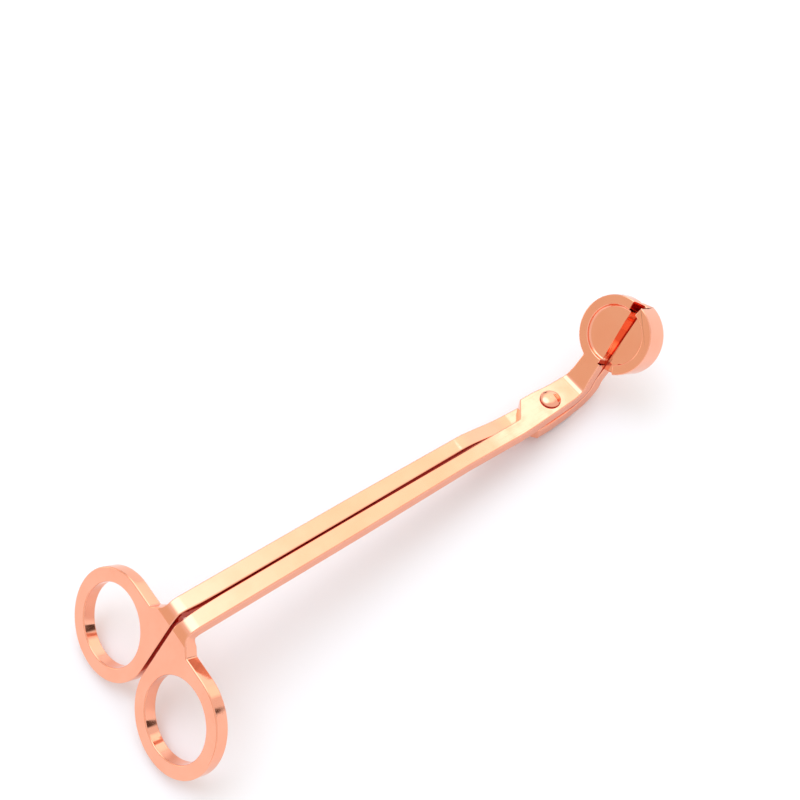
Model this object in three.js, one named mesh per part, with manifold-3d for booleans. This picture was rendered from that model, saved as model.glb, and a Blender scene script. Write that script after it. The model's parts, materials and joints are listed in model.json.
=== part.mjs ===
// Wick trimmer: two bent steel levers that cross at one rivet, with a finger ring at one end
// and half of a round, rimmed cutting head at the other. Millimetres, +Z up.
//
// Each lever is made the way the real one is: a flat blank is cut out, the head is coined and
// bevelled while the blank is flat, the lower lever is pressed down by one plate thickness so
// that it can pass under the other, and then both ends are bent.
//
// Blank coordinates: x runs from the rings to the head and is 0 where the ring bend starts,
// side is towards the lever's own finger ring, and z is 0 on the upper face.
import * as THREE from 'three';
import Module from 'manifold-3d';
import { mergeVertices } from 'three/addons/utils/BufferGeometryUtils.js';

const wasm = await Module();
wasm.setup();

// Plate and bends.
const PLATE = 3.8;              // thickness of the steel
const PLATE_GAP = 0.35;         // free height between the two levers where they cross
const BEND_ANGLE = THREE.MathUtils.degToRad(57);
const BEND_RADIUS = 2.8;        // inside radius of both bends
const RING_ARC = (BEND_RADIUS + PLATE) * BEND_ANGLE;   // upper face length of the ring bend
const NECK_ARC = BEND_RADIUS * BEND_ANGLE;             // upper face length of the neck bend

// Finger ring.
const RING_HOLE = 11.2;         // radius
const RING_OUTER = 15.15;       // radius
const RING_REACH = 16.75;       // from the end of the bend to the ring's centre
const RING_SIDE = 15.65;        // from the centre line to the ring's centre
const RING_X = -RING_ARC - RING_REACH;
const RING_BOTTOM = RING_SIDE - RING_OUTER;
const WEB_FILLET = 3.4;
const WEB_EDGE = RING_X + RING_OUTER;   // straight edge of the web between ring and shank

// Shank.
const SLIT_HALF = 0.28;         // half of the slit between the two shanks
const SLIT_HALF_JOG = 0.41;     // the same beside the joggle
const SHANK_OUTER = 5.25;       // half width at the ring bend
const SHANK_WAIST = 4.65;       // half width where it is slimmest
const SHANK_FLARE = 5.05;       // half width at the pivot plate

// Pivot plate and rivet.
const PIVOT_X = 118.7;
const PLATE_START = 107.8;
const PLATE_CORNER = 111.4;
const PLATE_HALF = 4.85;
const PLATE_NECK = 4.4;         // far side of the plate where it runs into the neck
const JOG_START = 86;           // the lower lever steps down between these two
const JOG_END = 107;
const JOG_DEPTH = PLATE + PLATE_GAP;
const RIVET_RADIUS = 1.9;
const RIVET_CLEARANCE = 0.15;
const RIVET_HEAD = 3.05;        // radius
const RIVET_HEAD_HEIGHT = 1.2;
const RIVET_TAIL = 2.7;         // radius
const RIVET_TAIL_HEIGHT = 0.6;
const RIVET_SEAT = 0.1;         // free height under the rivet's head and tail

// Neck and head.
const NECK_BEND_X = 126.6;
const NECK_START = 125.5;
const NECK_END = 131.5;
const NECK_FAR = 3.85;          // upper lever's neck edge on the head's own side
const NECK_NEAR = 2.7;          // neck edge on the other side
const HEAD_RADIUS = 11.15;
const HEAD_REACH = 17.7;        // from the end of the bend to the head's centre
const HEAD_SHIFT = 0.35;        // each half is this far out from the centre line
const HEAD_X = NECK_BEND_X + NECK_ARC + HEAD_REACH;
const RIM_INNER = 8.3;          // radius
const FLOOR_DEPTH = 1.1;        // upper lever: floor of the head under its rim
const FLOOR_SLOPE = 0.8;        // upper lever: how far the wall of the floor leans
const RIM_START = THREE.MathUtils.degToRad(-145);      // lower lever: ends of the tall rim,
const RIM_END = THREE.MathUtils.degToRad(-6);          // measured from the neck's direction

// Cutting edge, from the neck to the tip of the head, as distances past the centre line.
const EDGE_START_X = HEAD_X - 9.6;
const EDGE_START = 2.1;
const EDGE_TIP = 0.6;
const BEVEL_START = 1.2;        // far side of the bevel at the neck
const BEVEL_TIP = -1.8;         // far side of the bevel at the tip

// Edges of the blank as [x, side] points, joined by straight lines.
const INNER_EDGE = [
  [RING_X, RING_BOTTOM], [-5, RING_BOTTOM],
  [-2.6, 0.8], [0, 0.62], [3.5, 0.4],             // the slit is wider at the ring bend
  [9, SLIT_HALF], [50, SLIT_HALF],
  [JOG_START, SLIT_HALF_JOG], [JOG_END, SLIT_HALF_JOG],
  [PLATE_START, -0.45], [PLATE_CORNER, -PLATE_HALF],
];
const UPPER_FAR_EDGE = [
  [116, -PLATE_HALF], [121, -PLATE_NECK], [127, -PLATE_NECK], [NECK_END, -NECK_FAR],
];
const LOWER_FAR_EDGE = [                          // flush with the upper lever's neck
  [116, -PLATE_HALF], [121, -4.5], [NECK_START, -4.1], [128.5, -3.35], [NECK_END, -NECK_NEAR],
];
const OUTER_EDGE = [
  [NECK_END, NECK_NEAR], [128.5, 3.3], [NECK_START, 3.85], [PIVOT_X, 4.3], [110, 4.84],
  [105, SHANK_FLARE], [98, 4.9], [JOG_START, SHANK_WAIST], [50, 5.1], [2, SHANK_OUTER],
];

const CURVE_STEPS = 18;
const BEND_STEPS = 6;
const JOG_STEPS = 8;
const BEYOND = 2;               // how far a cutter reaches past the steel

const STEEL = { color: 0xe8a184, roughness: 0.12, metalness: 1 };

// ---- Solids

function solidOf(geometry) {
  const bare = geometry.index ? geometry.toNonIndexed() : geometry.clone();
  bare.deleteAttribute('normal');
  bare.deleteAttribute('uv');
  const merged = mergeVertices(bare, 1e-4);
  return new wasm.Manifold(new wasm.Mesh({
    numProp: 3,
    vertProperties: merged.attributes.position.array,
    triVerts: Uint32Array.from(merged.index.array),
  }));
}

function extrudeBetween(shape, bottom, top) {
  const options = { depth: top - bottom, bevelEnabled: false, curveSegments: CURVE_STEPS };
  return new THREE.ExtrudeGeometry(shape, options).translate(0, 0, bottom);
}

function trianglesOf(solid) {
  const { vertProperties, triVerts } = solid.getMesh();
  const corner = (i) => new THREE.Vector3().fromArray(vertProperties, 3 * i);
  const triangles = [];
  for (let i = 0; i < triVerts.length; i += 3) {
    triangles.push([corner(triVerts[i]), corner(triVerts[i + 1]), corner(triVerts[i + 2])]);
  }
  return triangles;
}

function geometryOf(triangles) {
  const geometry = new THREE.BufferGeometry().setFromPoints(triangles.flat());
  const merged = mergeVertices(geometry, 1e-4);
  merged.computeVertexNormals();
  return merged;
}

// ---- Blank

// Outline of a lever's flat blank: inner edge, pivot plate, head, outer edge, ring. The head
// is left wide on its cutting side, for the bevel to cut back.
function blankOutline(farEdge) {
  const shape = new THREE.Shape();
  const draw = (points) => points.forEach(([x, side]) => shape.lineTo(x, side));
  const neckSide = farEdge.at(-1)[1];
  const headStart = Math.PI + Math.asin((-neckSide - HEAD_SHIFT) / HEAD_RADIUS);
  const headEnd = 2 * Math.PI + Math.asin((EDGE_TIP + BEYOND + HEAD_SHIFT) / HEAD_RADIUS);
  shape.moveTo(...INNER_EDGE[0]);
  draw(INNER_EDGE.slice(1));
  draw(farEdge);
  shape.lineTo(HEAD_X + HEAD_RADIUS * Math.cos(headStart), neckSide);
  shape.absarc(HEAD_X, -HEAD_SHIFT, HEAD_RADIUS, headStart, headEnd, false);
  draw([[EDGE_START_X + BEYOND, EDGE_START + BEYOND], [EDGE_START_X, EDGE_START]]);
  draw(OUTER_EDGE);
  shape.lineTo(WEB_EDGE + WEB_FILLET, SHANK_OUTER);
  shape.absarc(WEB_EDGE + WEB_FILLET, SHANK_OUTER + WEB_FILLET, WEB_FILLET,
    -Math.PI / 2, -Math.PI, true);
  shape.lineTo(WEB_EDGE, RING_SIDE);
  shape.absarc(RING_X, RING_SIDE, RING_OUTER, 0, 1.5 * Math.PI, false);
  shape.holes.push(circle(RING_X, RING_SIDE, RING_HOLE));
  shape.holes.push(circle(PIVOT_X, 0, RIVET_RADIUS + RIVET_CLEARANCE));
  return shape;
}

function circle(x, y, radius) {
  return new THREE.Path().absarc(x, y, radius, 0, 2 * Math.PI, false);
}

// Cutter for the bevelled edge: everything past a ruled face that rises from the edge line
// at height edgeZ to the far side of the bevel at height farZ.
function bevelCutter(edgeZ, farZ) {
  const nearX = EDGE_START_X;
  const tipX = HEAD_X + HEAD_RADIUS + BEYOND;
  const out = HEAD_RADIUS;
  const corners = [
    [nearX, EDGE_START, edgeZ], [tipX, EDGE_TIP, edgeZ], [tipX, out, edgeZ], [nearX, out, edgeZ],
    [nearX, BEVEL_START, farZ], [tipX, BEVEL_TIP, farZ], [tipX, out, farZ], [nearX, out, farZ],
  ];
  const faces = [[3, 2, 1, 0], [4, 5, 6, 7], [0, 1, 5, 4], [1, 2, 6, 5], [2, 3, 7, 6], [3, 0, 4, 7]];
  const inward = farZ < edgeZ;
  const points = faces.flatMap(([a, b, c, d]) => (inward ? [c, b, a, d, c, a] : [a, b, c, a, c, d]));
  const vertices = points.map((i) => new THREE.Vector3(...corners[i]));
  return solidOf(new THREE.BufferGeometry().setFromPoints(vertices));
}

// Upper lever: shallow round floor in the head, bevel towards the lower edge.
function upperBlank() {
  const plate = solidOf(extrudeBetween(blankOutline(UPPER_FAR_EDGE), -PLATE, 0));
  const slope = FLOOR_SLOPE / FLOOR_DEPTH;
  const floor = new THREE.CylinderGeometry(
    RIM_INNER + slope * BEYOND, RIM_INNER - FLOOR_SLOPE, FLOOR_DEPTH + BEYOND, 2 * CURVE_STEPS);
  floor.rotateX(Math.PI / 2).translate(HEAD_X, -HEAD_SHIFT, (BEYOND - FLOOR_DEPTH) / 2);
  return plate.subtract(solidOf(floor)).subtract(bevelCutter(-PLATE, BEYOND / 4));
}

// Lower lever: thick head whose rim stands up to the level of the upper lever's face. All
// that stands above the plate is cut away except the rim.
function lowerBlank() {
  const plate = solidOf(extrudeBetween(blankOutline(LOWER_FAR_EDGE), -PLATE, JOG_DEPTH));
  const rim = new THREE.Path();
  rim.absarc(HEAD_X, -HEAD_SHIFT, RIM_INNER, RIM_START, RIM_END, false);
  rim.absarc(HEAD_X, -HEAD_SHIFT, HEAD_RADIUS + BEYOND, RIM_END, RIM_START, true);
  rim.closePath();
  const left = RING_X - RING_OUTER - BEYOND;
  const right = HEAD_X + HEAD_RADIUS + 2 * BEYOND;
  const far = RING_SIDE + RING_OUTER + BEYOND;
  const cover = new THREE.Shape();
  cover.moveTo(left, -far).lineTo(right, -far).lineTo(right, far).lineTo(left, far).closePath();
  cover.holes.push(rim);
  const waste = solidOf(extrudeBetween(cover, 0, JOG_DEPTH + BEYOND));
  return plate.subtract(waste).subtract(bevelCutter(0, -PLATE - BEYOND / 4));
}

// ---- Forming

// Cuts triangles on the plane x = at, so that a bend has corners to turn on.
function sliceAt(triangles, at) {
  const near = 1e-4;
  const sideOf = (p) => (Math.abs(p.x - at) < near ? 0 : Math.sign(p.x - at));
  const crossing = (a, b) => {
    const [low, high] = a.x < b.x ? [a, b] : [b, a];
    return low.clone().lerp(high, (at - low.x) / (high.x - low.x)).setX(at);
  };
  const halfOf = (corners, keep) => corners.flatMap((p, i) => {
    const next = corners[(i + 1) % corners.length];
    const own = sideOf(p) === -keep ? [] : [p];
    return sideOf(p) * sideOf(next) < 0 ? [...own, crossing(p, next)] : own;
  });
  return triangles.flatMap((corners) => {
    const sides = corners.map(sideOf);
    if (Math.min(...sides) >= 0 || Math.max(...sides) <= 0) return [corners];
    return [-1, 1].flatMap((keep) => {
      const polygon = halfOf(corners, keep);
      return polygon.slice(2).map((p, i) => [polygon[0], polygon[i + 1], p]);
    });
  });
}

function sliceBetween(triangles, from, to, steps) {
  let cut = triangles;
  for (let i = 0; i <= steps; i++) cut = sliceAt(cut, from + (to - from) * i / steps);
  return cut;
}

// Presses the lower lever down between JOG_START and JOG_END; its thickness follows the slope.
function press(point) {
  const length = JOG_END - JOG_START;
  const t = THREE.MathUtils.clamp((point.x - JOG_START) / length, 0, 1);
  const drop = -JOG_DEPTH * t * t * (3 - 2 * t);
  const slope = -JOG_DEPTH * 6 * t * (1 - t) / length;
  const lean = Math.hypot(1, slope);
  return new THREE.Vector3(
    point.x - point.z * slope / lean, point.y, drop + point.z / lean);
}

// Bends the ring end down and the neck end up.
function bend(point) {
  const { x, y, z } = point;
  if (x < 0) {
    const turn = Math.min(-x / (BEND_RADIUS + PLATE), BEND_ANGLE);
    const radius = BEND_RADIUS + PLATE + z;
    const straight = Math.max(-x - RING_ARC, 0);
    return new THREE.Vector3(
      -radius * Math.sin(turn) - straight * Math.cos(turn),
      y,
      radius * Math.cos(turn) - BEND_RADIUS - PLATE - straight * Math.sin(turn));
  }
  if (x > NECK_BEND_X) {
    const turn = Math.min((x - NECK_BEND_X) / BEND_RADIUS, BEND_ANGLE);
    const radius = BEND_RADIUS - z;
    const straight = Math.max(x - NECK_BEND_X - NECK_ARC, 0);
    return new THREE.Vector3(
      NECK_BEND_X + radius * Math.sin(turn) + straight * Math.cos(turn),
      y,
      BEND_RADIUS - radius * Math.cos(turn) + straight * Math.sin(turn));
  }
  return point.clone();
}

function mirrorSide(triangles) {
  return triangles.map(([a, b, c]) => [a, c, b].map((p) => new THREE.Vector3(p.x, -p.y, p.z)));
}

function formLever(blank, isLower) {
  let triangles = sliceBetween(trianglesOf(blank), -RING_ARC, 0, BEND_STEPS);
  triangles = sliceBetween(triangles, NECK_BEND_X, NECK_BEND_X + NECK_ARC, BEND_STEPS);
  triangles = sliceBetween(triangles, JOG_START, JOG_END, isLower ? JOG_STEPS : 1);
  if (isLower) {
    triangles = triangles.map((corners) => corners.map(press));
  } else {
    triangles = mirrorSide(triangles);
  }
  return geometryOf(triangles.map((corners) => corners.map(bend)));
}

// ---- Rivet

// Domed head on the upper lever, plain stem, low tail under the lower lever.
function rivetGeometry() {
  const headBase = RIVET_SEAT;
  const tailBase = -2 * PLATE - PLATE_GAP - RIVET_SEAT;
  const dome = (radius, height, base, steps) => {
    const points = [];
    for (let i = 0; i <= steps; i++) {
      const angle = i / steps * Math.PI / 2;
      points.push(new THREE.Vector2(radius * Math.cos(angle), base + height * Math.sin(angle)));
    }
    points[steps].x = 0;
    return points;
  };
  const profile = [
    ...dome(RIVET_TAIL, -RIVET_TAIL_HEIGHT, tailBase, 3).reverse(),
    new THREE.Vector2(RIVET_RADIUS, tailBase),
    new THREE.Vector2(RIVET_RADIUS, headBase),
    ...dome(RIVET_HEAD, RIVET_HEAD_HEIGHT, headBase, 4),
  ];
  return new THREE.LatheGeometry(profile, 24).rotateX(Math.PI / 2).translate(PIVOT_X, 0, 0);
}

// ---- Assembly

// The trimmer lies on the far tips of its rings and on the outside of the neck bend.
// The shank then slopes down towards the head by this angle.
function restingTilt() {
  const tip = bend(new THREE.Vector3(RING_X - RING_OUTER, RING_SIDE, -PLATE));
  const heel = BEND_RADIUS + 2 * PLATE + PLATE_GAP;
  const along = NECK_BEND_X - tip.x;
  const up = BEND_RADIUS - tip.z;
  return Math.acos(heel / Math.hypot(along, up)) - Math.atan2(along, up);
}

function steelMesh(name, geometry) {
  const mesh = new THREE.Mesh(geometry, new THREE.MeshStandardMaterial(STEEL));
  mesh.name = name;
  return mesh;
}

const group = new THREE.Group();
group.add(steelMesh('upper_lever', formLever(upperBlank(), false)));
group.add(steelMesh('lower_lever', formLever(lowerBlank(), true)));
group.add(steelMesh('pivot_rivet', rivetGeometry()));

// Origin at the middle of the underside of the resting trimmer.
group.rotation.y = restingTilt();
group.updateMatrixWorld(true);
const bounds = new THREE.Box3().setFromObject(group, true);
const centre = bounds.getCenter(new THREE.Vector3());
group.position.set(-centre.x, -centre.y, -bounds.min.z);

export default group;
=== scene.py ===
import json
import math

import bmesh
import bpy
from mathutils import Matrix, Vector


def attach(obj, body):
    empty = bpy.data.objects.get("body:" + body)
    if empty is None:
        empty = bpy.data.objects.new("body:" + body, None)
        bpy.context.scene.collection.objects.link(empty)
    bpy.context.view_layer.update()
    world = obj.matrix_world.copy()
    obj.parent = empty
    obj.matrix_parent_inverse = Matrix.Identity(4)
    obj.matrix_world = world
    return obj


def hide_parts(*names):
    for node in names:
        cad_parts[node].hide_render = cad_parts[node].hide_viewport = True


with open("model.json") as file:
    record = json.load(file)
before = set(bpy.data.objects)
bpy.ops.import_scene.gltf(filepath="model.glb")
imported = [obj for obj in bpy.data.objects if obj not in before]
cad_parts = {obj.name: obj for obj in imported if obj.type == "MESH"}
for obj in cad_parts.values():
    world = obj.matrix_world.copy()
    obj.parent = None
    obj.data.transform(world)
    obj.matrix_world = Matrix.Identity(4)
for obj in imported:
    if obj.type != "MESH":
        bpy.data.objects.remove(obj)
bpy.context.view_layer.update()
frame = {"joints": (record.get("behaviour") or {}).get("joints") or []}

pivot = frame["joints"][0]

MM = 0.001

# Plate and bends.
PLATE = 3.8
PLATE_GAP = 0.35
BEND_ANGLE = math.radians(57)
BEND_RADIUS = 2.8
RING_ARC = (BEND_RADIUS + PLATE) * BEND_ANGLE
NECK_ARC = BEND_RADIUS * BEND_ANGLE

# Finger ring.
RING_HOLE = 11.2
RING_OUTER = 15.15
RING_REACH = 16.75
RING_SIDE = 15.65
RING_X = -RING_ARC - RING_REACH
RING_BOTTOM = RING_SIDE - RING_OUTER
WEB_FILLET = 3.4
FILLET_SPARE = 0.05
WEB_EDGE = RING_X + RING_OUTER

# Shank.
SLIT_HALF = 0.28
SLIT_HALF_JOG = 0.41
SHANK_OUTER = 5.25
SHANK_WAIST = 4.65
SHANK_FLARE = 5.05

# Pivot plate and rivet.
PIVOT_X = 118.7
PLATE_START = 107.8
PLATE_CORNER = 111.4
PLATE_HALF = 4.85
PLATE_NECK = 4.4
JOG_START = 86
JOG_END = 107
JOG_DEPTH = PLATE + PLATE_GAP
SETTLE = 0.3
RIVET_RADIUS = 1.9
RIVET_CLEARANCE = 0.15
RIVET_HEAD = 3.05
RIVET_HEAD_HEIGHT = 1.2
RIVET_TAIL = 2.7
RIVET_TAIL_HEIGHT = 0.6
RIVET_SEAT = 0.1
RIVET_UNDERCUT = 0.12

# Neck and head.
NECK_BEND_X = 126.6
NECK_START = 125.5
NECK_END = 131.5
NECK_FAR = 3.85
NECK_NEAR = 2.7
HEAD_RADIUS = 11.15
HEAD_REACH = 17.7
HEAD_SHIFT = 0.35
HEAD_X = NECK_BEND_X + NECK_ARC + HEAD_REACH
RIM_INNER = 8.3
FLOOR_DEPTH = 1.1
FLOOR_FILLET = 0.75
RIM_START = math.radians(-145)
RIM_END = math.radians(-6)
EDGE_START_X = HEAD_X - 9.6
EDGE_START = 2.1
EDGE_TIP = 0.6
BEVEL_START = 1.2
BEVEL_TIP = -1.8
BEVEL_OVERRUN = 0.5
BEYOND = 2

# Edges of the blank as (x, side, radius): straight lines, with each corner rounded.
INNER_EDGE = [
    (-5, RING_BOTTOM, 4), (-2.6, 0.8, 3), (0, 0.62, 8), (3.5, 0.4, 10),
    (9, SLIT_HALF, 20), (50, SLIT_HALF, 90),
    (JOG_START, SLIT_HALF_JOG, 30), (JOG_END, SLIT_HALF_JOG, 0.7),
    (PLATE_START, -0.45, 3), (PLATE_CORNER, -PLATE_HALF, 0.6),
]
UPPER_FAR_EDGE = [
    (116, -PLATE_HALF, 20), (121, -PLATE_NECK, 20), (127, -PLATE_NECK, 8), (NECK_END, -NECK_FAR, 8),
]
LOWER_FAR_EDGE = [
    (116, -PLATE_HALF, 20), (121, -4.5, 20), (NECK_START, -4.1, 20), (128.5, -3.35, 10),
    (NECK_END, -NECK_NEAR, 10),
]
OUTER_EDGE = [
    (NECK_END, NECK_NEAR, 5), (128.5, 3.3, 6), (NECK_START, 3.85, 10), (PIVOT_X, 4.3, 50),
    (110, 4.84, 20), (105, SHANK_FLARE, 10), (98, 4.9, 30), (JOG_START, SHANK_WAIST, 40),
    (50, 5.1, 200), (2, SHANK_OUTER, 0),
]

# Rounding of the edges, and fineness of the curves.
EDGE_ROUND = 0.34
SHARP = math.radians(30)
ROUND_STEPS = 4
ARC_STEP = math.radians(2.5)
SAME_POINT = 0.004
SLIVER = 0.003
ON_PLANE = 1e-4
FLOOR_STEPS = 144
FILLET_STEPS = 8
RIVET_STEPS = 96
DOME_STEPS = 14
BEND_STEPS = 20
JOG_STEPS = 26


# ---- Blank

def arc(centre_x, centre_side, radius, start, end):
    steps = max(2, math.ceil(abs(end - start) / ARC_STEP))
    angles = [start + (end - start) * i / steps for i in range(steps + 1)]
    return [(centre_x + radius * math.cos(a), centre_side + radius * math.sin(a), 0) for a in angles]


def rounded(corners):
    """Points of a closed outline whose corners are (x, side, radius)."""
    points = []
    for i, (x, side, radius) in enumerate(corners):
        here = Vector((x, side))
        if radius == 0:
            points.append(here)
            continue
        before = (Vector(corners[i - 1][:2]) - here).normalized()
        after = (Vector(corners[(i + 1) % len(corners)][:2]) - here).normalized()
        half = before.angle(after) / 2
        centre = here + (before + after).normalized() * radius / math.sin(half)
        first = here + before * radius / math.tan(half) - centre
        last = here + after * radius / math.tan(half) - centre
        start = math.atan2(first.y, first.x)
        turn = (math.atan2(last.y, last.x) - start + math.pi) % (2 * math.pi) - math.pi
        steps = max(2, math.ceil(abs(turn) / (2 * ARC_STEP)))
        for k in range(steps + 1):
            angle = start + turn * k / steps
            points.append(centre + radius * Vector((math.cos(angle), math.sin(angle))))
    return points


def blank_outline(far_edge):
    """Inner edge, pivot plate, head, outer edge and ring of a lever's flat blank. The head is
    left wide on its cutting side, for the bevel to cut back."""
    neck_side = far_edge[-1][1]
    head_start = math.pi + math.asin((-neck_side - HEAD_SHIFT) / HEAD_RADIUS)
    head_end = 2 * math.pi + math.asin((EDGE_TIP + BEYOND + HEAD_SHIFT) / HEAD_RADIUS)
    join_x = HEAD_X + HEAD_RADIUS * math.cos(head_start)
    skip = 2 * ARC_STEP
    return rounded([
        *INNER_EDGE,
        *far_edge,
        (join_x, neck_side, 0.6),
        *arc(HEAD_X, -HEAD_SHIFT, HEAD_RADIUS, head_start + skip, head_end),
        (EDGE_START_X + BEYOND, EDGE_START + BEYOND, 0.6),
        (EDGE_START_X, EDGE_START, 0),
        *OUTER_EDGE,
        (WEB_EDGE + WEB_FILLET, SHANK_OUTER, WEB_FILLET - FILLET_SPARE),
        (WEB_EDGE, SHANK_OUTER + WEB_FILLET, 0),
        (WEB_EDGE, RING_SIDE, 0),
        *arc(RING_X, RING_SIDE, RING_OUTER, ARC_STEP, 1.5 * math.pi),
    ])


def solid(name, outline, bottom, top):
    """Closed prism on an outline of (x, side) points."""
    bm = bmesh.new()
    low = [bm.verts.new((x, y, bottom)) for x, y in outline]
    high = [bm.verts.new((x, y, top)) for x, y in outline]
    bm.faces.new(reversed(low))
    bm.faces.new(high)
    for i in range(len(low)):
        k = (i + 1) % len(low)
        bm.faces.new((low[i], low[k], high[k], high[i]))
    return object_of(name, bm)


def turned(name, profile, steps):
    """Closed solid of (radius, z) points turned about z; the profile runs from axis to axis."""
    bm = bmesh.new()
    rings = []
    for radius, z in profile:
        if radius == 0:
            rings.append([bm.verts.new((0, 0, z))] * steps)
            continue
        angles = [2 * math.pi * i / steps for i in range(steps)]
        rings.append([bm.verts.new((radius * math.cos(a), radius * math.sin(a), z)) for a in angles])
    for lower, upper in zip(rings, rings[1:]):
        for i in range(steps):
            k = (i + 1) % steps
            corners = [lower[i], lower[k], upper[k], upper[i]]
            unique = [v for n, v in enumerate(corners) if v not in corners[:n]]
            bm.faces.new(unique)
    return object_of(name, bm)


def object_of(name, bm):
    bmesh.ops.recalc_face_normals(bm, faces=bm.faces[:])
    mesh = bpy.data.meshes.new(name)
    bm.to_mesh(mesh)
    bm.free()
    made = bpy.data.objects.new(name, mesh)
    bpy.context.scene.collection.objects.link(made)
    return made


def applied(obj):
    """Applies the object's modifiers to its mesh."""
    evaluated = obj.evaluated_get(bpy.context.evaluated_depsgraph_get())
    mesh = bpy.data.meshes.new_from_object(evaluated)
    obj.modifiers.clear()
    obj.data = mesh
    return obj


def carve(obj, cutter):
    cut = obj.modifiers.new("cut", "BOOLEAN")
    cut.operation = "DIFFERENCE"
    cut.solver = "MANIFOLD"
    cut.object = cutter
    applied(obj)
    bpy.data.objects.remove(cutter)


def round_edges(obj):
    """Rounds every real edge of the flat blank. The cutting edges come after, and stay sharp."""
    bm = bmesh.new()
    bm.from_mesh(obj.data)
    bmesh.ops.remove_doubles(bm, verts=bm.verts[:], dist=SAME_POINT)
    bmesh.ops.dissolve_degenerate(bm, dist=SLIVER, edges=bm.edges[:])
    bm.to_mesh(obj.data)
    bm.free()
    bevel = obj.modifiers.new("round", "BEVEL")
    bevel.limit_method = "ANGLE"
    bevel.angle_limit = SHARP
    bevel.width = EDGE_ROUND
    bevel.segments = ROUND_STEPS
    bevel.use_clamp_overlap = False
    applied(obj)


def carve_holes(blank):
    for x, side, radius in ((RING_X, RING_SIDE, RING_HOLE), (PIVOT_X, 0, RIVET_RADIUS + RIVET_CLEARANCE)):
        hole = [(px, py) for px, py, _ in arc(x, side, radius, 0, 2 * math.pi)]
        carve(blank, solid("cutter", hole[:-1], -PLATE - BEYOND, JOG_DEPTH + BEYOND))


def bevel_cutter(edge_z, far_z):
    """Everything past a ruled face from the cutting edge to the far side of its bevel."""
    tip_x = HEAD_X + HEAD_RADIUS + BEYOND
    out = HEAD_RADIUS
    bm = bmesh.new()
    rings = []
    for near, tip, z in ((EDGE_START, EDGE_TIP, edge_z), (BEVEL_START, BEVEL_TIP, far_z)):
        corners = [(EDGE_START_X, near, z), (tip_x, tip, z), (tip_x, out, z), (EDGE_START_X, out, z)]
        rings.append([bm.verts.new(c) for c in corners])
    bm.faces.new(rings[0])
    bm.faces.new(rings[1])
    for i in range(4):
        k = (i + 1) % 4
        bm.faces.new((rings[0][i], rings[0][k], rings[1][k], rings[1][i]))
    return object_of("cutter", bm)


def upper_blank():
    """Blank with a shallow round floor in the head, and its bevel above the cutting edge."""
    blank = solid("upper_lever_plated", blank_outline(UPPER_FAR_EDGE), -PLATE, 0)
    carve_holes(blank)
    middle = RIM_INNER - FLOOR_FILLET
    level = FLOOR_FILLET - FLOOR_DEPTH
    angles = [math.pi / 2 * i / FILLET_STEPS for i in range(FILLET_STEPS + 1)]
    wall = [(middle + FLOOR_FILLET * math.sin(a), level - FLOOR_FILLET * math.cos(a)) for a in angles]
    floor = turned("cutter", [(0, -FLOOR_DEPTH), *wall, (RIM_INNER, BEYOND), (0, BEYOND)],
                   FLOOR_STEPS)
    floor.data.transform(Matrix.Translation((HEAD_X, -HEAD_SHIFT, 0)))
    carve(blank, floor)
    round_edges(blank)
    carve(blank, bevel_cutter(-PLATE, BEVEL_OVERRUN))
    return blank


def lower_blank():
    """Thick blank that is cut down to the plate everywhere except at its tall rim."""
    blank = solid("lower_lever_plated", blank_outline(LOWER_FAR_EDGE), -PLATE, JOG_DEPTH)
    carve_holes(blank)
    beyond = HEAD_RADIUS + BEYOND
    rim = arc(HEAD_X, -HEAD_SHIFT, RIM_INNER, RIM_START, RIM_END)
    end_x = HEAD_X + beyond * math.cos(RIM_END)
    end_side = -HEAD_SHIFT + beyond * math.sin(RIM_END)
    start_x = HEAD_X + beyond * math.cos(RIM_START)
    start_side = -HEAD_SHIFT + beyond * math.sin(RIM_START)
    left = RING_X - RING_OUTER - BEYOND
    far = RING_SIDE + RING_OUTER + BEYOND
    waste = [(start_x, start_side), (start_x, -far), (left, -far), (left, far), (end_x, far),
             (end_x, end_side)]
    waste += [(x, y) for x, y, _ in reversed(rim)]
    carve(blank, solid("cutter", waste, 0, JOG_DEPTH + BEYOND))
    round_edges(blank)
    carve(blank, bevel_cutter(0, -PLATE - BEVEL_OVERRUN))
    return blank


# ---- Forming

def press(point):
    """Steps the lower lever down between JOG_START and JOG_END, square to the slope."""
    length = JOG_END - JOG_START
    t = min(max((point.x - JOG_START) / length, 0), 1)
    drop = -JOG_DEPTH * t * t * (3 - 2 * t)
    slope = -JOG_DEPTH * 6 * t * (1 - t) / length
    lean = math.hypot(1, slope)
    height = point.z + SETTLE * t * settled(point.z)
    return Vector((point.x - height * slope / lean, point.y, drop + height / lean))


def settled(z):
    """The lower plate comes up against the upper one: all of the way at its upper face, and
    not at all at its underside or at the top of its rim."""
    return 1 + z / PLATE if z < 0 else 1 - z / JOG_DEPTH


def bend(point):
    """Bends the ring end down and the neck end up."""
    x, y, z = point
    if x < 0:
        turn = min(-x / (BEND_RADIUS + PLATE), BEND_ANGLE)
        radius = BEND_RADIUS + PLATE + z
        straight = max(-x - RING_ARC, 0)
        return Vector((
            -radius * math.sin(turn) - straight * math.cos(turn),
            y,
            radius * math.cos(turn) - BEND_RADIUS - PLATE - straight * math.sin(turn)))
    if x > NECK_BEND_X:
        turn = min((x - NECK_BEND_X) / BEND_RADIUS, BEND_ANGLE)
        radius = BEND_RADIUS - z
        straight = max(x - NECK_BEND_X - NECK_ARC, 0)
        return Vector((
            NECK_BEND_X + radius * math.sin(turn) + straight * math.cos(turn),
            y,
            BEND_RADIUS - radius * math.cos(turn) + straight * math.sin(turn)))
    return Vector(point)


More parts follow.
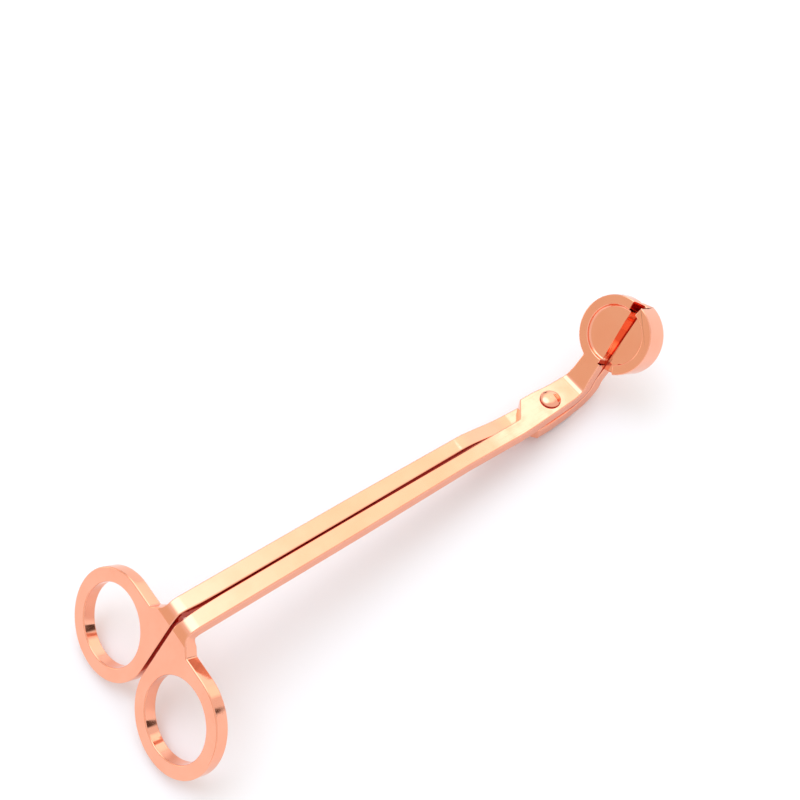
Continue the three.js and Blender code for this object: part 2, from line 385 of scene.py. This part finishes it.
def to_frame():
    """Blank millimetres to the row frame, from the hinge that the frame holds."""
    up = Vector(pivot["axis"]).normalized()
    side = Vector((0, 1, 0))
    along = side.cross(up)
    turn = Matrix((along, side, up)).transposed().to_4x4()
    place = Matrix.Translation(Vector(pivot["pos_m"]))
    return place @ turn @ Matrix.Scale(MM, 4) @ Matrix.Translation((-PIVOT_X, 0, 0))


def slice_between(bm, start, end, steps):
    for i in range(steps + 1):
        geometry = bm.verts[:] + bm.edges[:] + bm.faces[:]
        at = start + (end - start) * i / steps
        bmesh.ops.bisect_plane(
            bm, geom=geometry, dist=ON_PLANE, plane_co=(at, 0, 0), plane_no=(1, 0, 0))


def form_lever(blank, is_lower):
    """Presses and bends a flat blank, and keeps the flat place of each point for its finish."""
    bm = bmesh.new()
    bm.from_mesh(blank.data)
    slice_between(bm, -RING_ARC, 0, BEND_STEPS)
    slice_between(bm, NECK_BEND_X, NECK_BEND_X + NECK_ARC, BEND_STEPS)
    if is_lower:
        slice_between(bm, JOG_START, JOG_END, JOG_STEPS)
    flat = bm.verts.layers.float_vector.new("flat")
    for v in bm.verts:
        v[flat] = v.co
        if is_lower:
            v.co = bend(press(v.co))
        else:
            v.co = bend(v.co)
            v.co.y = -v.co.y
    if not is_lower:
        bmesh.ops.reverse_faces(bm, faces=bm.faces[:])
    for face in bm.faces:
        face.smooth = True
    for edge in bm.edges:
        edge.smooth = edge.calc_face_angle(0) < SHARP
    bm.transform(to_frame())
    bm.to_mesh(blank.data)
    bm.free()
    normals = blank.modifiers.new("normals", "WEIGHTED_NORMAL")
    normals.mode = "FACE_AREA"
    normals.weight = 70
    normals.keep_sharp = True
    return blank


# ---- Rivet

def rivet():
    head_base = RIVET_SEAT
    tail_base = -2 * PLATE - PLATE_GAP - RIVET_SEAT

    def dome(radius, height, base):
        angles = [math.pi / 2 * i / DOME_STEPS for i in range(DOME_STEPS + 1)]
        points = [(radius * math.cos(a), base + height * math.sin(a)) for a in angles]
        points[-1] = (0, base + height)
        return points

    profile = list(reversed(dome(RIVET_TAIL, -RIVET_TAIL_HEIGHT, tail_base)))
    profile += [
        (RIVET_TAIL - RIVET_UNDERCUT, tail_base), (RIVET_RADIUS, tail_base),
        (RIVET_RADIUS, head_base), (RIVET_HEAD - RIVET_UNDERCUT, head_base),
    ]
    profile += dome(RIVET_HEAD, RIVET_HEAD_HEIGHT, head_base)
    made = turned("pivot_rivet_plated", profile, RIVET_STEPS)
    flat = made.data.attributes.new("flat", "FLOAT_VECTOR", "POINT")
    for point, vertex in zip(flat.data, made.data.vertices):
        point.vector = vertex.co
    made.data.transform(to_frame() @ Matrix.Translation((PIVOT_X, 0, 0)))
    made.data.shade_smooth()
    return made


# ---- Finish

ROSE_GOLD = (0.955, 0.43, 0.285, 1)
ROSE_GOLD_DEEP = (0.945, 0.405, 0.262, 1)
# Painted shade: dark copper laid over the plating where shade and dark reflections fall.
PAINTED_SHADE_COPPER = (0.44, 0.04, 0.016, 1)

# Noise of the plating, in lumps to a millimetre, and depths of its relief in millimetres.
TINT_NOISE = 0.11
SMUDGE_NOISE = 0.35
WAVE_NOISE = 0.14
GRAIN_NOISE = 2.6
GRAIN_DEPTH = 0.0012
LINE_DEPTH = 0.0006
LINE_TURNS = (-12, 35, 78)

# Where the painted shade in dark copper fades, from and to, in millimetres of the blank. The reach of the
# painted shade at the edge is measured inwards from the cutting edge.
SLIT_SIDE = (0.75, 0.95)
SLIT_TOP = (-0.45, -0.2)
SLIT_BOTTOM = (0.3 - PLATE, 0.5 - PLATE)
SLIT_START = (-30, -20)
FOOT_START = (NECK_BEND_X - 5, NECK_BEND_X)
FOOT_REACH = (1.1, 0.8)
FOOT_TOP = (0.4 - PLATE, 0.7 - PLATE)
ENDS_INNER = (RIM_INNER - 0.5, RIM_INNER + 0.3)
ENDS_OUTER = (HEAD_RADIUS - 0.9, HEAD_RADIUS - 0.5)
ENDS_REACH = (3.1, 2.8)
ENDS_TOP = (-0.5, -0.2)
ENDS_START = (EDGE_START_X - 0.6, EDGE_START_X)
RIVET_FOOT = (RIVET_SEAT + 0.25, RIVET_SEAT + 0.5)


class Finish:
    """Node material whose patterns lie on the flat blank, in millimetres."""

    def __init__(self, name):
        self.material = bpy.data.materials.new(name)
        self.material.use_nodes = True
        self.tree = self.material.node_tree
        self.shader = self.tree.nodes["Principled BSDF"]
        self.flat = self.node("ShaderNodeAttribute", attribute_name="flat").outputs["Vector"]

    def node(self, kind, **settings):
        made = self.tree.nodes.new(kind)
        for key, value in settings.items():
            setattr(made, key, value)
        return made

    def link(self, source, target):
        self.tree.links.new(source, target)

    def axes(self):
        """Place along the blank, to its side, and above its upper face."""
        made = self.node("ShaderNodeSeparateXYZ")
        self.link(self.flat, made.inputs["Vector"])
        return [made.outputs[axis] for axis in "XYZ"]

    def noise(self, per_mm, stretch=(1, 1, 1), turn=0, detail=2):
        """Noise with about per_mm lumps to a millimetre, stretched after a turn about z."""
        place = self.node("ShaderNodeMapping")
        place.inputs["Rotation"].default_value = (0, 0, math.radians(turn))
        place.inputs["Scale"].default_value = stretch
        self.link(self.flat, place.inputs["Vector"])
        made = self.node("ShaderNodeTexNoise")
        made.inputs["Scale"].default_value = per_mm
        made.inputs["Detail"].default_value = detail
        self.link(place.outputs["Vector"], made.inputs["Vector"])
        return made.outputs["Fac"]

    def ranged(self, value, low, high, to_low, to_high):
        made = self.node("ShaderNodeMapRange", interpolation_type="SMOOTHSTEP")
        for key, number in (("From Min", low), ("From Max", high), ("To Min", to_low), ("To Max", to_high)):
            made.inputs[key].default_value = number
        self.link(value, made.inputs["Value"])
        return made.outputs["Result"]

    def math(self, operation, *values):
        made = self.node("ShaderNodeMath", operation=operation)
        for socket, value in zip(made.inputs, values):
            if isinstance(value, (int, float)):
                socket.default_value = value
            else:
                self.link(value, socket)
        return made.outputs["Value"]

    def all_of(self, first, *rest):
        for mask in rest:
            first = self.math("MULTIPLY", first, mask)
        return first

    def bump(self, height, depth_mm, below=None):
        made = self.node("ShaderNodeBump")
        made.inputs["Distance"].default_value = depth_mm * MM
        self.link(height, made.inputs["Height"])
        if below is not None:
            self.link(below, made.inputs["Normal"])
        return made.outputs["Normal"]


def slit_painted_reflection(finish):
    """1 on the two walls of the slit between the shanks, where dark red is painted in as a reflection: their
    mirror faces look at each other, which turns their reflections dark red."""
    x, side, z = finish.axes()
    return finish.all_of(
        finish.ranged(side, *SLIT_SIDE, 1, 0),
        finish.ranged(z, *SLIT_TOP, 1, 0),
        finish.ranged(z, *SLIT_BOTTOM, 0, 1),
        finish.ranged(x, *SLIT_START, 0, 1),
        finish.ranged(x, JOG_START, JOG_END, 1, 0))


def edge_painted_shade(finish):
    """1 along the foot of the cutting edge and the neck, and at both ends of the bevel: painted shade and
    painted dark reflections in the corners between mirror faces."""
    x, side, z = finish.axes()
    lean = (EDGE_START - EDGE_TIP) / (HEAD_X + HEAD_RADIUS + BEYOND - EDGE_START_X)
    square = finish.math("ADD", side, finish.math("MULTIPLY", x, lean))
    edge = EDGE_START + lean * EDGE_START_X
    foot = finish.all_of(
        finish.ranged(x, *FOOT_START, 0, 1),
        finish.ranged(square, *(edge - reach for reach in FOOT_REACH), 0, 1),
        finish.ranged(z, *FOOT_TOP, 1, 0))
    from_middle = finish.math("ABSOLUTE", finish.math("SUBTRACT", x, HEAD_X))
    ends = finish.all_of(
        finish.ranged(from_middle, *ENDS_INNER, 0, 1),
        finish.ranged(from_middle, *ENDS_OUTER, 1, 0),
        finish.ranged(square, *(edge - reach for reach in ENDS_REACH), 0, 1),
        finish.ranged(z, *ENDS_TOP, 1, 0),
        finish.ranged(x, *ENDS_START, 0, 1))
    return finish.math("MAXIMUM", foot, ends)


# Painted shade and painted reflection on the levers: the slit walls and the cutting edge's corners.
def lever_painted_shade(finish):
    return finish.math("MAXIMUM", slit_painted_reflection(finish), edge_painted_shade(finish))


def rivet_painted_shadow(finish):
    """1 around the foot of the rivet's head, for a painted shadow where the head sits on the plate."""
    height = finish.axes()[2]
    return finish.ranged(height, *RIVET_FOOT, 1, 0)


def plating(name, waviness, shade_mask):
    """Mirror-polished rose gold plating: polishing waves so many millimetres deep, fine lines, smudges, and
    a dark copper colour painted where the mask says, as painted shade and painted dark reflections."""
    finish = Finish(name)
    shader = finish.shader
    shader.inputs["Metallic"].default_value = 1

    tint = finish.node("ShaderNodeMix", data_type="RGBA")
    tint.inputs["A"].default_value = ROSE_GOLD
    tint.inputs["B"].default_value = ROSE_GOLD_DEEP
    finish.link(finish.ranged(finish.noise(TINT_NOISE, detail=3), 0.35, 0.7, 0, 1), tint.inputs["Factor"])
    # Paints the dark copper shade over the plating where the mask says.
    shaded_colour = finish.node("ShaderNodeMix", data_type="RGBA")
    shaded_colour.inputs["B"].default_value = PAINTED_SHADE_COPPER
    finish.link(tint.outputs["Result"], shaded_colour.inputs["A"])
    finish.link(shade_mask(finish), shaded_colour.inputs["Factor"])
    finish.link(shaded_colour.outputs["Result"], shader.inputs["Base Color"])

    lines = None
    for turn in LINE_TURNS:
        streak = finish.noise(1.0, stretch=(0.05, 5, 1), turn=turn, detail=1)
        thin = finish.ranged(streak, 0.66, 0.72, 0, 1)
        lines = thin if lines is None else finish.math("MAXIMUM", lines, thin)

    smudge = finish.ranged(finish.noise(SMUDGE_NOISE, detail=5), 0.4, 0.75, 0.05, 0.13)
    finish.link(finish.math("ADD", smudge, finish.math("MULTIPLY", lines, 0.05)), shader.inputs["Roughness"])

    waves = finish.bump(finish.noise(WAVE_NOISE, detail=1), waviness)
    grain = finish.bump(finish.noise(GRAIN_NOISE, detail=3), GRAIN_DEPTH, waves)
    finish.link(finish.bump(lines, LINE_DEPTH, grain), shader.inputs["Normal"])
    return finish.material


# ---- Stage

LENS = 58.49
CAMERA_PLACE = (-0.08226, -0.13293, 0.32885)
CAMERA_RIGHT = (0.80231, -0.59569, -0.03822)
CAMERA_FORWARD = (0.27697, 0.42823, -0.86018)


def camera():
    """The camera stands above the ring end, off to the upper lever's side."""
    data = bpy.data.cameras.new("camera")
    data.lens = LENS
    data.sensor_width = 36
    made = bpy.data.objects.new("camera", data)
    right = Vector(CAMERA_RIGHT)
    forward = Vector(CAMERA_FORWARD).normalized()
    right = (right - forward * right.dot(forward)).normalized()
    up = right.cross(forward)
    turn = Matrix((right, up, -forward)).transposed().to_4x4()
    made.matrix_world = Matrix.Translation(CAMERA_PLACE) @ turn
    data.clip_start = 0.01
    data.clip_end = 20
    bpy.context.scene.collection.objects.link(made)
    bpy.context.scene.camera = made


def floor():
    half = 3
    corners = ((-half, -half, 0), (half, -half, 0), (half, half, 0), (-half, half, 0))
    bm = bmesh.new()
    bm.faces.new([bm.verts.new(c) for c in corners])
    made = object_of("floor", bm)
    material = bpy.data.materials.new("floor")
    material.use_nodes = True
    shader = material.node_tree.nodes["Principled BSDF"]
    shader.inputs["Base Color"].default_value = (0.9, 0.9, 0.925, 1)
    shader.inputs["Roughness"].default_value = 0.9
    shader.inputs["Specular IOR Level"].default_value = 0
    made.data.materials.append(material)


# Soft lights of the studio: direction, radius of the full light and of its fade in degrees,
# and radiance. Each is laid over the ones before it.
STUDIO = (0.95, 0.95, 0.95)
LIGHTS = [
    ((-0.86, 0.37, 0.35), 14, 32, (0.86, 0.78, 0.64)),
    ((0.85, 0.36, 0.40), 16, 30, (1.45, 1.5, 1.45)),
    ((0.40, 0.40, 0.82), 18, 34, (1.62, 1.66, 1.5)),
    ((0.00, 0.40, 0.92), 8, 28, (2.5, 2.6, 2.85)),
    ((0.605, 0.358, 0.711), 0.8, 2.4, (2.3, 2.4, 2.5)),
    ((0.98, 0.03, 0.17), 5, 12, (1.5, 1.5, 1.4)),
    ((-0.70, 0.70, 0.10), 5, 12, (2.0, 2.0, 1.8)),
    ((0.86, -0.50, 0.08), 5, 10, (0.1, 0.08, 0.07)),
    ((0.50, 0.85, 0.12), 5, 11, (0.1, 0.08, 0.07)),
]


def studio():
    """Pale room of soft patches of light and dark. Like lamps out of frame, they light the
    object and show in it, but the backdrop itself is plain."""
    made = bpy.data.worlds.new("studio")
    made.use_nodes = True
    tree = made.node_tree
    toward = tree.nodes.new("ShaderNodeTexCoord").outputs["Generated"]
    light = None
    for direction, full, fade, radiance in LIGHTS:
        dot = tree.nodes.new("ShaderNodeVectorMath")
        dot.operation = "DOT_PRODUCT"
        dot.inputs[1].default_value = Vector(direction).normalized()
        tree.links.new(toward, dot.inputs[0])
        mask = tree.nodes.new("ShaderNodeMapRange")
        mask.interpolation_type = "SMOOTHSTEP"
        mask.inputs["From Min"].default_value = math.cos(math.radians(fade))
        mask.inputs["From Max"].default_value = math.cos(math.radians(full))
        tree.links.new(dot.outputs["Value"], mask.inputs["Value"])
        mix = tree.nodes.new("ShaderNodeMix")
        mix.data_type = "RGBA"
        mix.clamp_factor = True
        mix.inputs["A"].default_value = (*STUDIO, 1)
        mix.inputs["B"].default_value = (*radiance, 1)
        if light is not None:
            tree.links.new(light, mix.inputs["A"])
        tree.links.new(mask.outputs["Result"], mix.inputs["Factor"])
        light = mix.outputs["Result"]
    backdrop = tree.nodes.new("ShaderNodeMix")
    backdrop.data_type = "RGBA"
    backdrop.inputs["B"].default_value = (*STUDIO, 1)
    tree.links.new(tree.nodes.new("ShaderNodeLightPath").outputs["Is Camera Ray"], backdrop.inputs["Factor"])
    tree.links.new(light, backdrop.inputs["A"])
    tree.links.new(backdrop.outputs["Result"], tree.nodes["Background"].inputs["Color"])
    bpy.context.scene.world = made


# The lever plating carries painted shade and painted reflections, the rivet plating a painted shadow at its
# foot.
lever_plating = plating("lever_plating", 0.03, lever_painted_shade)
rivet_plating = plating("rivet_plating", 0.02, rivet_painted_shadow)
upper = form_lever(upper_blank(), False)
lower = form_lever(lower_blank(), True)
stud = rivet()
for piece, node, body, material, slot in (
    (upper, "upper_lever", "upper_lever", lever_plating, "lever_plating"),
    (lower, "lower_lever", "lower_lever", lever_plating, "lever_plating"),
    (stud, "pivot_rivet", "lower_lever", rivet_plating, "rivet_plating"),
):
    piece.data.materials.clear()
    piece.data.materials.append(material)
    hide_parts(node)
    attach(piece, body)

camera()
floor()
studio()
bpy.context.scene.view_settings.view_transform = "Standard"
